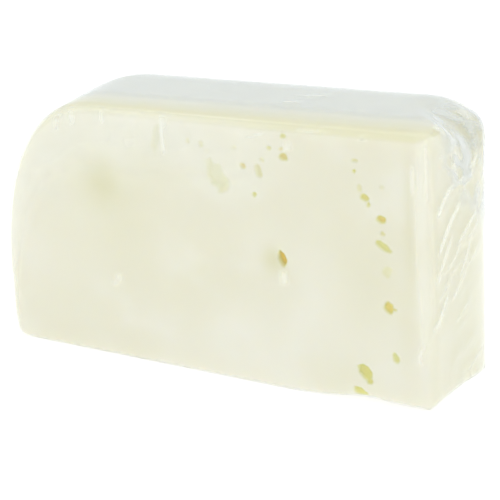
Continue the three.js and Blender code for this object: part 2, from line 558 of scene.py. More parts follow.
class GridSurface:
    """A closed surface: profiles along X, shrunk to a point in each end face."""

    def __init__(self, profiles: Array, left_rings: int, right_rings: int) -> None:
        """Builds the points and faces.

        Args:
            profiles: Points of shape stations by profile by 3.
            left_rings: Shrinking rings in the left end face.
            right_rings: Shrinking rings in the right end face.
        """
        left = self.rings(profiles[0], left_rings)[::-1]
        right = self.rings(profiles[-1], right_rings)
        grid = np.concatenate([left, profiles, right])
        self.stations, self.around = grid.shape[:2]
        poles = np.stack([profiles[0].mean(0), profiles[-1].mean(0)])
        self.points = np.concatenate([grid.reshape(-1, 3), poles])
        i = np.arange(self.stations - 1)[:, None] * self.around
        j = np.arange(self.around)[None, :]
        k = (j + 1) % self.around
        self.quads = np.stack(
            [i + j, i + self.around + j, i + self.around + k, i + k], axis=-1
        ).reshape(-1, 4)
        last = (self.stations - 1) * self.around
        first_pole = len(self.points) - 2
        self.fans = np.concatenate(
            [
                np.stack([k[0], np.full(self.around, first_pole), j[0]], axis=-1),
                np.stack([last + j[0], np.full(self.around, first_pole + 1), last + k[0]], -1),
            ]
        )

    @staticmethod
    def rings(edge: Array, count: int) -> Array:
        """Copies of an end's outline, shrunk in even steps towards its middle.

        Args:
            edge: The outline's points.
            count: How many copies.

        Returns:
            Points of shape copies by outline by 3.
        """
        share = (np.arange(1, count + 1) / (count + 1.0))[:, None, None]
        return edge[None] + (edge.mean(0)[None, None] - edge[None]) * share

    def normals(self) -> Array:
        """Outward unit normals: the sum of the faces round each point, made unit length.

        Returns:
            One normal for each point. The two poles' normals lie along X.
        """
        total = np.zeros_like(self.points)
        first, second = self.quads[:, [0, 2]], self.quads[:, [1, 3]]
        a = self.points[first[:, 1]] - self.points[first[:, 0]]
        b = self.points[second[:, 1]] - self.points[second[:, 0]]
        face = np.cross(a, b)
        for column in range(4):
            np.add.at(total, self.quads[:, column], face)
        length = np.linalg.norm(total, axis=1, keepdims=True)
        total[-2:] = [[-1.0, 0.0, 0.0], [1.0, 0.0, 0.0]]
        length[-2:] = 1.0
        return total / np.maximum(length, TINY)

    def to_object(
        self, name: str, middle: float, drop: Array | None = None
    ) -> bpy.types.Object:
        """Makes the mesh object, in metres, smooth shaded.

        Args:
            name: The object's name.
            middle: X of the wrapped wedge's middle, which goes to the origin.
            drop: Numbers of the quads to leave out, if any.

        Returns:
            The new object, linked to the scene.
        """
        quads = self.quads if drop is None else np.delete(self.quads, drop, axis=0)
        corners = np.concatenate([quads.ravel(), self.fans.ravel()])
        sizes = np.concatenate([np.full(len(quads), 4), np.full(len(self.fans), 3)])
        mesh = bpy.data.meshes.new(name)
        mesh.vertices.add(len(self.points))
        placed = (self.points - [middle, 0.0, 0.0]) * MM
        mesh.vertices.foreach_set("co", placed.astype(np.float32).ravel())
        mesh.loops.add(len(corners))
        mesh.loops.foreach_set("vertex_index", corners.astype(np.int32))
        mesh.polygons.add(len(sizes))
        starts = np.concatenate([[0], np.cumsum(sizes)[:-1]])
        mesh.polygons.foreach_set("loop_start", starts.astype(np.int32))
        mesh.polygons.foreach_set("use_smooth", np.ones(len(sizes), dtype=bool))
        mesh.update(calc_edges=True)
        mesh.validate()
        made = bpy.data.objects.new(name, mesh)
        bpy.context.scene.collection.objects.link(made)
        return made


def paint(piece: bpy.types.Object, name: str, values: Array) -> None:
    """Stores one number per vertex, for the material to read.

    Args:
        piece: The mesh object.
        name: The attribute's name.
        values: One number for each vertex.
    """
    attribute = piece.data.attributes.new(name, "FLOAT", "POINT")
    attribute.data.foreach_set("value", np.clip(values, 0.0, 1.0).astype(np.float32))


# ---------------------------------------------------------------------------------------------
# Shader nodes
# ---------------------------------------------------------------------------------------------


class Graph:
    """A short way to write shader nodes: add, link and common sums."""

    def __init__(self, tree: bpy.types.NodeTree) -> None:
        """Starts from an empty tree."""
        self.tree = tree
        tree.nodes.clear()

    def node(self, kind: str, **settings: object) -> bpy.types.Node:
        """Adds a node and sets its properties.

        Args:
            kind: The node's type.
            **settings: Its properties.

        Returns:
            The node.
        """
        made = self.tree.nodes.new(kind)
        for key, value in settings.items():
            setattr(made, key, value)
        return made

    def put(self, socket: bpy.types.NodeSocket, value: object) -> None:
        """Links a socket, or sets its plain value.

        Args:
            socket: The input to feed.
            value: An output to link from, or a number or colour.
        """
        if isinstance(value, bpy.types.NodeSocket):
            self.tree.links.new(value, socket)
        else:
            socket.default_value = value

    def sum(self, kind: str, a: object, b: object, c: object = 0.0) -> bpy.types.NodeSocket:
        """A Math node on up to three values.

        Args:
            kind: The node's operation.
            a: First value.
            b: Second value.
            c: Third value, for the operations that take one.

        Returns:
            The result.
        """
        made = self.node("ShaderNodeMath", operation=kind)
        for socket, value in zip(made.inputs, (a, b, c)):
            self.put(socket, value)
        return made.outputs[0]

    def mix(self, share: object, a: object, b: object) -> bpy.types.NodeSocket:
        """A colour between two others.

        Args:
            share: 0 for the first colour, 1 for the second.
            a: The first colour.
            b: The second colour.

        Returns:
            The mixed colour.
        """
        made = self.node("ShaderNodeMix", data_type="RGBA")
        self.put(made.inputs["Factor"], share)
        self.put(made.inputs[6], a)
        self.put(made.inputs[7], b)
        return made.outputs[2]

    def span(self, value: object, low: float, high: float, to: Span) -> bpy.types.NodeSocket:
        """A value moved from one range to another, smoothly and with clamped ends.

        Args:
            value: The value to move.
            low: Where the first range starts.
            high: Where it ends.
            to: The second range.

        Returns:
            The moved value.
        """
        made = self.node("ShaderNodeMapRange", interpolation_type="SMOOTHSTEP")
        for name, item in zip(
            ("Value", "From Min", "From Max", "To Min", "To Max"), (value, low, high, *to)
        ):
            self.put(made.inputs[name], item)
        return made.outputs[0]

    def noise(
        self, place: object, scale: float, detail: float, rough: float = 0.55
    ) -> bpy.types.NodeSocket:
        """Noise, about 0.5 on average.

        Args:
            place: The coordinates.
            scale: Waves in a metre.
            detail: Finer layers on top.
            rough: Strength of each finer layer against the last.

        Returns:
            The noise.
        """
        made = self.node("ShaderNodeTexNoise")
        self.put(made.inputs["Vector"], place)
        self.put(made.inputs["Scale"], scale)
        self.put(made.inputs["Detail"], detail)
        self.put(made.inputs["Roughness"], rough)
        return made.outputs["Fac"]

    def painted(self, name: str) -> bpy.types.NodeSocket:
        """The value of a per-vertex attribute."""
        return self.node("ShaderNodeAttribute", attribute_name=name).outputs["Fac"]


def new_material(name: str) -> tuple[bpy.types.Material, Graph, bpy.types.Node]:
    """A material with one Principled shader.

    Args:
        name: The material's name.

    Returns:
        The material, its graph and the shader.
    """
    material = bpy.data.materials.new(name)
    material.use_nodes = True
    graph = Graph(material.node_tree)
    shader = graph.node("ShaderNodeBsdfPrincipled")
    output = graph.node("ShaderNodeOutputMaterial")
    graph.put(output.inputs["Surface"], shader.outputs[0])
    return material, graph, shader


@dataclass(frozen=True)
class PasteFinish:
    """The cheese itself: ivory paste, whiter rind, and warm translucent eyes.

    Attributes:
        paste: The paste's main colour.
        paste_deep: Its colour in the deeper clouds.
        paste_light: Its colour in the palest patches.
        rind: The rind's colour.
        olive: Colour of a cool eye.
        orange: Colour of a warm eye.
        shade_and_tone: Colour of the painted shade on the narrow cut face and in its troughs, and
            of the darker, yellower tone of the dimples and of the band along the top's front edge.
        cloud_scale: Waves in a metre of the broad clouds.
        patch_scale: Waves in a metre of the pale patches.
        speck_scale: Waves in a metre of the specks.
        grain_scale: Waves in a metre of the finest grain.
        palest: How far the pale patches go towards their colour.
        speckled: How far the specks go towards it.
        rind_cover: How far the rind's colour covers the paste.
        rough: Least and most roughness.
        relief: Shares of the specks and the grain in the bump.
        bump: The bump's strength, and its height in metres.
        glow: Share of the light that travels inside the paste.
        glow_reach: How far it travels, in metres.
        glow_tint: Share of that reach for red, green and blue.
        bending: Index of refraction.
    """

    paste: Colour = (0.790, 0.775, 0.665, 1.0)
    paste_deep: Colour = (0.755, 0.735, 0.590, 1.0)
    paste_light: Colour = (0.830, 0.825, 0.755, 1.0)
    rind: Colour = (0.800, 0.795, 0.710, 1.0)
    olive: Colour = (0.700, 0.705, 0.240, 1.0)
    orange: Colour = (0.770, 0.560, 0.070, 1.0)
    shade_and_tone: Colour = (0.715, 0.695, 0.490, 1.0)
    cloud_scale: float = 24.0
    patch_scale: float = 55.0
    speck_scale: float = 260.0
    grain_scale: float = 900.0
    palest: float = 0.40
    speckled: float = 0.10
    rind_cover: float = 0.85
    rough: Span = (0.44, 0.58)
    relief: Span = (0.6, 0.25)
    bump: Span = (0.2, 0.0003)
    glow: float = 0.55
    glow_reach: float = 0.006
    glow_tint: tuple[float, float, float] = (1.0, 0.85, 0.55)
    bending: float = 1.44

    def build(self) -> bpy.types.Material:
        """Clouds the paste, dresses the rind, and colours the eyes by their painted depth.

        Returns:
            The material.
        """
        material, graph, shader = new_material("cheese_paste")
        place = graph.node("ShaderNodeTexCoord").outputs["Object"]
        cloud = graph.noise(place, self.cloud_scale, 1.5)
        patch = graph.noise(place, self.patch_scale, 2.0)
        speck = graph.noise(place, self.speck_scale, 3.0, 0.6)
        grain = graph.noise(place, self.grain_scale, 2.0, 0.6)
        colour = graph.mix(graph.span(cloud, 0.36, 0.64, (0.25, 1.0)), self.paste_deep, self.paste)
        bright = graph.span(patch, 0.48, 0.74, (0.0, self.palest))
        specks = graph.span(speck, 0.5, 0.75, (0.0, 1.0))
        bright = graph.sum("MULTIPLY_ADD", specks, self.speckled, bright)
        colour = graph.mix(bright, colour, self.paste_light)
        # Painted shade on the narrow cut face, and a darker, yellower tone in the dimples and along
        # the top's front edge.
        colour = graph.mix(graph.painted("dimple"), colour, self.shade_and_tone)
        rind = graph.sum("MULTIPLY", graph.painted("rind"), self.rind_cover)
        colour = graph.mix(rind, colour, self.rind)
        warm = graph.mix(graph.painted("warmth"), self.olive, self.orange)
        colour = graph.mix(graph.painted("eye"), colour, warm)
        graph.put(shader.inputs["Base Color"], colour)
        graph.put(shader.inputs["Roughness"], graph.span(speck, 0.3, 0.7, self.rough))
        fine = graph.sum("MULTIPLY", grain, self.relief[1])
        height = graph.sum("MULTIPLY_ADD", speck, self.relief[0], fine)
        bump = graph.node("ShaderNodeBump")
        graph.put(bump.inputs["Strength"], self.bump[0])
        graph.put(bump.inputs["Distance"], self.bump[1])
        graph.put(bump.inputs["Height"], height)
        graph.put(shader.inputs["Normal"], bump.outputs[0])
        shader.inputs["Subsurface Weight"].default_value = self.glow
        shader.inputs["Subsurface Radius"].default_value = self.glow_tint
        shader.inputs["Subsurface Scale"].default_value = self.glow_reach
        shader.inputs["IOR"].default_value = self.bending
        return material


@dataclass(frozen=True)
class FilmFinish:
    """Clear stretch film: seen through, with a glancing gloss, milky creases with painted
    highlights, and a painted grey reflection.

    Attributes:
        tint: Colour of the clear film.
        milk: Colour of the painted grey reflection, where the film is greyed.
        crest: Colour of its milky creases, whitened as a painted highlight.
        fine_scale: Waves in a metre of its finest wrinkles.
        broad_scale: Waves in a metre of its uneven clearness.
        gloss_power: How fast the gloss rises towards a glancing view.
        gloss: How dense the film looks at a glancing view.
        least: How dense it looks when seen square on.
        milkiness: Least and most density of a fully milky crease, and of the full painted
            reflection.
        densest: The greatest density anywhere.
        shadow_pass: Share of its density that it loses for shadows.
        mirror: How mirror-like it is where it is clear.
        greyed_mirror: How mirror-like it is where the painted grey reflection lies.
        crest_mirror: How mirror-like its creases are.
        rough: Least and most roughness.
        bump: The bump's strength, and its height in metres.
        bending: Index of refraction.
    """

    tint: Colour = (0.97, 0.98, 0.92, 1.0)
    milk: Colour = (0.85, 0.88, 0.88, 1.0)
    crest: Colour = (0.98, 0.985, 0.93, 1.0)
    fine_scale: float = 420.0
    broad_scale: float = 40.0
    gloss_power: float = 4.5
    gloss: float = 0.8
    least: float = 0.025
    milkiness: Span = (0.44, 0.54)
    densest: float = 0.92
    shadow_pass: float = 0.8
    mirror: float = 0.95
    greyed_mirror: float = 0.1
    crest_mirror: float = 0.2
    rough: Span = (0.15, 0.24)
    bump: Span = (0.3, 0.0002)
    bending: float = 1.5

    def build(self) -> bpy.types.Material:
        """Lets light through by alpha, which rises at glancing angles and in the creases.

        Returns:
            The material.
        """
        material, graph, shader = new_material("clear_film")
        place = graph.node("ShaderNodeTexCoord").outputs["Object"]
        fine = graph.noise(place, self.fine_scale, 3.0, 0.6)
        broad = graph.noise(place, self.broad_scale, 1.0)
        facing = graph.node("ShaderNodeLayerWeight")
        facing.inputs["Blend"].default_value = 0.5
        glance = graph.sum("POWER", facing.outputs["Facing"], self.gloss_power)
        # Two painted attributes: milky creases, whitened partly as painted highlights, and a
        # painted grey reflection.
        milk_and_glint, painted_reflection = graph.painted("milk_and_glint"), graph.painted("painted_reflection")
        open_share = graph.sum("MULTIPLY_ADD", glance, self.gloss, self.least)
        milky = graph.sum("MAXIMUM", milk_and_glint, painted_reflection)
        cover = graph.sum("MULTIPLY", milky, graph.span(broad, 0.3, 0.7, self.milkiness))
        alpha = graph.sum("MINIMUM", graph.sum("ADD", open_share, cover), self.densest)
        shadow = graph.node("ShaderNodeLightPath").outputs["Is Shadow Ray"]
        passed = graph.sum("MULTIPLY_ADD", shadow, -self.shadow_pass, 1.0)
        graph.put(shader.inputs["Alpha"], graph.sum("MULTIPLY", alpha, passed))
        # The painted grey reflection turns the film's colour towards the grey.
        colour = graph.mix(graph.span(painted_reflection, 0.0, 0.5, (0.0, 1.0)), self.tint, self.milk)
        # The milky creases turn to the crest white, a painted highlight on the folds.
        lit = graph.span(graph.sum("SUBTRACT", milk_and_glint, painted_reflection), 0.0, 0.4, (0.0, 1.0))
        colour = graph.mix(lit, colour, self.crest)
        graph.put(shader.inputs["Base Color"], colour)
        dull = graph.span(painted_reflection, 0.1, 0.7, (self.mirror, self.greyed_mirror))
        whitened = graph.span(lit, 0.0, 1.0, (self.mirror, self.crest_mirror))
        graph.put(shader.inputs["Metallic"], graph.sum("MINIMUM", dull, whitened))
        graph.put(shader.inputs["Roughness"], graph.span(broad, 0.3, 0.7, self.rough))
        bump = graph.node("ShaderNodeBump")
        graph.put(bump.inputs["Strength"], self.bump[0])
        graph.put(bump.inputs["Distance"], self.bump[1])
        graph.put(bump.inputs["Height"], fine)
        graph.put(shader.inputs["Normal"], bump.outputs[0])
        shader.inputs["IOR"].default_value = self.bending
        return material


# ---------------------------------------------------------------------------------------------
# The cheese
# ---------------------------------------------------------------------------------------------


@dataclass(frozen=True)
class Eye:
    """A small hole in the cut face. Millimetres and degrees.

    Attributes:
        from_tip: Distance from the right-hand edge of the face.
        up: Height above the base.
        wide: Whole width.
        tall: Whole height.
        deep: Depth below the face.
        tilt: Turn in the face, anticlockwise as seen from the front.
        warmth: 0 for olive, 1 for orange.
        strength: How strongly it is coloured.
        softness: How gently its wall falls, as a share of its radius.
    """

    from_tip: float
    up: float
    wide: float
    tall: float
    deep: float
    tilt: float = 0.0
    warmth: float = 0.1
    strength: float = 0.8
    softness: float = 0.35


EYES = (
    Eye(59.6, 63.2, 5.0, 9.2, 1.3, tilt=29.0, warmth=0.0, strength=0.32, softness=0.4),
    Eye(61.8, 70.3, 1.6, 1.4, 0.4, strength=0.1, softness=0.8),
    Eye(77.8, 72.0, 2.0, 8.6, 1.5, tilt=-14.0, warmth=0.0, strength=0.3, softness=0.6),
    Eye(67.4, 72.5, 1.2, 1.3, 0.6, strength=0.55),
    Eye(63.4, 72.0, 1.2, 1.6, 0.6, strength=0.5),
    Eye(53.5, 72.0, 1.4, 1.2, 0.5, strength=0.25, softness=0.7),
    Eye(51.2, 67.0, 1.7, 1.8, 1.0, tilt=-30.0, warmth=0.6, strength=0.85),
    Eye(46.8, 66.2, 1.9, 3.6, 1.1, tilt=12.0, warmth=0.1, strength=0.5),
    Eye(45.6, 69.4, 1.3, 1.2, 0.6, strength=0.35),
    Eye(48.7, 59.3, 1.2, 1.2, 0.8, strength=0.85),
    Eye(43.1, 72.9, 1.3, 1.0, 0.7, strength=0.7),
    Eye(38.9, 76.5, 1.7, 1.3, 0.9, strength=0.8),
    Eye(39.2, 70.8, 2.3, 2.1, 1.2, tilt=-20.0, warmth=0.55, strength=0.85),
    Eye(39.6, 72.9, 1.2, 1.0, 0.5, warmth=0.4, strength=0.4),
    Eye(42.2, 41.1, 2.5, 4.4, 2.4, tilt=10.0, warmth=1.0, strength=1.0, softness=0.25),
    Eye(19.3, 71.8, 1.6, 1.0, 0.6, strength=0.4),
    Eye(19.6, 69.0, 0.9, 0.9, 0.7, strength=0.95),
    Eye(18.4, 64.6, 1.3, 1.9, 0.5, strength=0.35, softness=0.7),
    Eye(17.2, 62.0, 2.7, 1.8, 1.0, tilt=-18.0, warmth=0.25, strength=0.9),
    Eye(16.2, 60.4, 1.0, 1.5, 0.7, tilt=-10.0, strength=0.7),
    Eye(12.4, 65.4, 1.2, 1.3, 0.4, strength=0.2, softness=0.7),
    Eye(12.9, 56.4, 2.6, 2.0, 1.1, tilt=-20.0, warmth=0.55, strength=0.9),
    Eye(12.7, 52.5, 1.3, 1.3, 0.7, strength=0.5),
    Eye(12.8, 49.0, 1.7, 5.2, 0.9, tilt=52.0, warmth=0.1, strength=0.85),
    Eye(12.1, 41.8, 2.5, 2.8, 0.5, strength=0.3, softness=0.9),
    Eye(11.9, 31.2, 2.4, 3.6, 1.2, tilt=18.0, warmth=0.55, strength=0.95),
    Eye(10.5, 31.0, 1.6, 1.1, 0.7, tilt=-10.0, warmth=0.4, strength=0.7),
    Eye(10.4, 16.6, 1.8, 3.2, 0.9, tilt=24.0, warmth=0.05, strength=0.8),
    Eye(19.4, 10.4, 3.4, 5.4, 1.5, tilt=34.0, warmth=0.2, strength=0.95, softness=0.25),
    Eye(18.2, 7.9, 1.9, 1.8, 1.0, tilt=0.0, warmth=0.2, strength=0.9),
    Eye(20.8, 3.8, 4.4, 2.4, 1.4, tilt=-22.0, warmth=0.15, strength=0.9),
)


@dataclass(frozen=True)
class Dimple:
    """A wide, shallow hollow in the cut face. Millimetres.

    Attributes:
        from_tip: Distance from the right-hand edge of the face.
        up: Height above the base.
        wide: Whole width.
        tall: Whole height.
        deep: Depth below the face.
        shade: How far its colour goes towards the darker, yellower tone.
    """

    from_tip: float
    up: float
    wide: float
    tall: float
    deep: float
    shade: float


DIMPLES = (
    Dimple(97.5, 58.5, 9.0, 12.0, 0.9, 0.55),
    Dimple(98.0, 55.0, 26.0, 40.0, 0.3, 0.62),
    Dimple(80.0, 66.0, 15.0, 12.0, 0.2, 0.30),
    Dimple(44.8, 40.5, 7.0, 8.0, 0.6, 0.95),
    Dimple(18.0, 36.0, 24.0, 34.0, 0.3, 0.26),
    Dimple(5.6, 56.0, 2.6, 40.0, 0.2, 0.50),
    Dimple(7.0, 26.0, 5.0, 34.0, 0.1, 0.25),
    Dimple(26.0, 8.0, 26.0, 12.0, 0.0, 0.30),
    Dimple(70.0, 30.0, 50.0, 16.0, 0.2, 0.10),
)


@dataclass(frozen=True)
class Cheese:
    """The wedge of cheese, with its eyes, dimples, knife marks and rind.

    Attributes:
        form: The wedge's form.
        finish: The cheese's finish.
        station_count: Profiles along the length.
        row_count: Rows up the front.
        counts: Points in each stretch of a profile.
        left_rings: Rings in the left end face.
        right_rings: Rings in the right end face.
        eye_stations: Distances from the right-hand edge between which eyes lie close together.
        eye_rows: Heights between which they do.
        station_gain: How much closer the stations are there.
        row_gain: How much closer the rows are there.
        eye_relief: Share of an eye's stated depth that is carved.
        raggedness: How far noise stirs the outline of an eye.
        shrinkage: How far the cheese lies inside its form, on average.
        seed: Chooses the random patterns.
    """

    form: WedgeForm
    finish: PasteFinish = PasteFinish()
    station_count: int = 262
    row_count: int = 188
    counts: ProfileCounts = ProfileCounts(front=188, top=16, fall=16, back=26, base=16)
    left_rings: int = 8
    right_rings: int = 26
    eye_stations: tuple[Span, ...] = ((8.5, 22.5), (37.0, 53.0), (57.0, 69.0), (76.0, 79.5))
    eye_rows: tuple[Span, ...] = ((2.0, 13.0), (15.0, 18.5), (29.0, 44.0), (47.0, 78.0))
    station_gain: float = 1.9
    row_gain: float = 1.2
    eye_relief: float = 0.55
    raggedness: float = 0.22
    shrinkage: float = 0.12
    seed: int = 11

    def station_density(self, x: Array) -> Array:
        """Closer stations where the eyes are."""
        from_tip = self.form.right - x
        return 1.0 + self.station_gain * sum(plateau(span, from_tip) for span in self.eye_stations)

    def row_density(self, share: Array) -> Array:
        """Closer rows up the front where the eyes are."""
        up = share * self.form.height
        return 1.0 + self.row_gain * sum(plateau(span, up) for span in self.eye_rows)

    def eye_fields(self, x: Array, z: Array) -> dict[str, Array]:
        """Depth and colour of the eyes and dimples at places on the cut face.

        An eye is an ellipse whose radius is stirred by noise, and its depth is a smooth fall
        from its rim. A dimple is a bell curve.

        Args:
            x: Places along the length.
            z: Heights above the base.

        Returns:
            Depth, eye colour strength, warmth and dimple darkening at each place.
        """
        from_tip = self.form.right - x
        place = np.stack([x, z, np.zeros_like(x)], axis=-1)
        stir = lattice_noise(place, 1.3, self.seed) + 0.5 * lattice_noise(place, 0.6, self.seed + 1)
        depth, colour = np.zeros_like(x), np.zeros_like(x)
        warmth, shade = np.zeros_like(x), np.zeros_like(x)
        for eye in EYES:
            across, along = -(from_tip - eye.from_tip), z - eye.up
            turn = math.radians(eye.tilt)
            u = across * math.cos(turn) + along * math.sin(turn)
            v = -across * math.sin(turn) + along * math.cos(turn)
            stretched = np.hypot(u / (eye.wide / 2.0), v / (eye.tall / 2.0))
            radius = stretched * (1.0 + self.raggedness * stir)
            wall = smooth_step(1.0 + eye.softness / 2.0, 1.0 - eye.softness, radius)
            depth = np.maximum(depth, self.eye_relief * eye.deep * wall)
            tone = eye.strength * smooth_step(1.12 + eye.softness / 3.0, 0.78, radius)
            warmth = np.where(tone > colour, eye.warmth * smooth_step(1.2, 0.4, radius), warmth)
            colour = np.maximum(colour, tone)
        for dimple in DIMPLES:
            u = (from_tip - dimple.from_tip) / (dimple.wide / 2.0)
            v = (z - dimple.up) / (dimple.tall / 2.0)
            bell = np.exp(-(u * u + v * v))
            depth += dimple.deep * bell
            shade += dimple.shade * bell
        return {"depth": depth, "eye": colour, "warmth": warmth, "dimple": shade}

    def swelling(self, points: Array, rind: Array, facing: Array) -> Array:
        """How far the surface swells out: broad, then fine on the rind, then knife drag.

        The knife's marks run along the cut face, so their noise is stretched along X.

        Args:
            points: The even cheese's points.
            rind: How far each point is rind.
            facing: How far each point is on the long cut face.

        Returns:
            The swelling at each point, in millimetres.
        """
        swell = 0.25 * layered_noise(points, 24.0, self.seed + 20, 2)
        swell += 0.05 * layered_noise(points, 4.0, self.seed + 30) * (0.2 + 0.8 * rind)
        drag = np.stack([points[:, 0] / 9.0, points[:, 1], points[:, 2]], axis=-1)
        swell += 0.012 * lattice_noise(drag, 1.6, self.seed + 40) * facing
        return swell - self.shrinkage

    def band_and_painted_shade(self, points: Array, normal: Array, cut_right: Array) -> Array:
        """A darker, yellower band along the top's front edge, and painted shade over the narrow
        face, deepest in slanting troughs.

        Args:
            points: The even cheese's points.
            normal: Its outward normals.
            cut_right: How far each point is on the narrow cut face.

        Returns:
            The darkening at each point, from 0 to 1.
        """
        inward, up = points[:, 1] - self.form.front, points[:, 2] - self.form.lift
        band = smooth_step(10.0, 5.0, inward) * smooth_step(0.05, 0.45, normal[:, 2])
        across, along = 0.988 * (up - 1.4 * inward), 0.3 * (inward + 0.55 * up)
        slant = np.stack([across, along, 0.0 * up], axis=-1)
        trough_shade = 0.5 + 0.5 * layered_noise(slant, 5.0, self.seed + 50, 2)
        # The narrow face gets painted shade all over, and more in troughs that slant along the
        # film's folds.
        return 0.8 * band + cut_right * (0.22 + 0.5 * trough_shade * smooth_step(2.0, 16.0, inward))

    def build(self) -> bpy.types.Object:
        """Makes the piece and paints its attributes.

        Returns:
            The finished cheese.
        """
        form = self.form
        x = form.stations(self.station_count, 0.0, self.station_density)
        rows = spaced(0.0, 1.0, self.row_count + 1, self.row_density)[:-1]
        profiles = form.profiles(x, rows, self.counts, 0.0)
        surface = GridSurface(profiles, self.left_rings, self.right_rings)
        surface.points = form.worn(form.splayed(surface.points), 0.0)
        normal, points = surface.normals(), surface.points
        facing = smooth_step(0.35, 0.8, -normal[:, 1])
        fields = self.eye_fields(points[:, 0], points[:, 2] - form.lift)
        cut_right = smooth_step(0.4, 0.8, normal[:, 0]) * smooth_step(20.0, 10.0, points[:, 1])
        behind_cut = smooth_step(form.front + 3.0, form.front + 14.0, points[:, 1])
        rind = np.clip(1.0 - facing - cut_right, 0.0, 1.0) * behind_cut
        standing = smooth_step(-0.9, -0.4, normal[:, 2])
        swell = self.swelling(points, rind, facing) * standing
        surface.points = points + normal * swell[:, None]
        surface.points[:, 1] += fields["depth"] * facing
        piece = surface.to_object("cheese_wedge", form.middle)
        paint(piece, "eye", fields["eye"] * facing)
        paint(piece, "warmth", fields["warmth"])
        # Painted shade on the narrow cut face, and a darker, yellower tone in the dimples and along
        # the top's front edge.
        band_and_painted_shade = self.band_and_painted_shade(points, normal, cut_right)
        paint(piece, "dimple", fields["dimple"] * facing + band_and_painted_shade)
        paint(piece, "rind", rind)
        piece.data.materials.append(self.finish.build())
        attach(piece, "root")
        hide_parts("cheese")
        log.info("cheese_wedge: %d faces", len(piece.data.polygons))
        return piece


# ---------------------------------------------------------------------------------------------
# The film
# ---------------------------------------------------------------------------------------------


class Face(Enum):
    """A side of the wrapped wedge that carries creases, with its two coordinates in words."""

    FRONT = "front: distance from the right-hand edge, height"
    RIGHT = "narrow end: distance back from the front, height"
    TOP = "top: distance from the right-hand edge, distance back from the front"
    BACK = "back: distance from the right-hand edge, height"
    BASE = "underside: distance from the right-hand edge, distance back from the front"


Places = dict[Face, tuple[Array, Array]]
Masks = dict[Face, Array]


@dataclass(frozen=True)
class Crease:
    """A raised fold in the film, along a bowed line. Millimetres.

    Attributes:
        face: The side it lies on.
        start: Where it starts, in the face's coordinates.
        end: Where it ends.
        high: Its height.
        wide: Its half-width.
        bow: How far its middle bows to the left of its run.
        milk_and_glint: How milky it is; its whiteness is partly a painted highlight on the fold.
    """

    face: Face
    start: tuple[float, float]
    end: tuple[float, float]
    high: float
    wide: float
    bow: float = 0.0
    milk_and_glint: float = 0.25

    def field(self, a: Array, b: Array) -> Array:
        """Its height share at places on its face: a bell across it, fading at both ends.

        One side of the bell is a little fuller, as a fold leans over.

        Args:
            a: The places' first coordinate.
            b: Their second coordinate.

        Returns:
            The share at each place, about 0 to 1.
        """
        run = np.array(self.end) - np.array(self.start)
        length = float(np.hypot(*run))
        along = ((a - self.start[0]) * run[0] + (b - self.start[1]) * run[1]) / length**2
        across = ((b - self.start[1]) * run[0] - (a - self.start[0]) * run[1]) / length
        across = across - 4.0 * self.bow * along * (1.0 - along)
        window = smooth_step(0.0, 0.22, along) * smooth_step(1.0, 0.7, along)
        lean = across / self.wide
        return np.exp(-(lean**2)) * (1.0 + 0.35 * np.tanh(lean)) * window


# Distances from the right-hand edge between which the front's bright upright fold lies.
BRIGHT_FOLD = (73.5, 77.5)


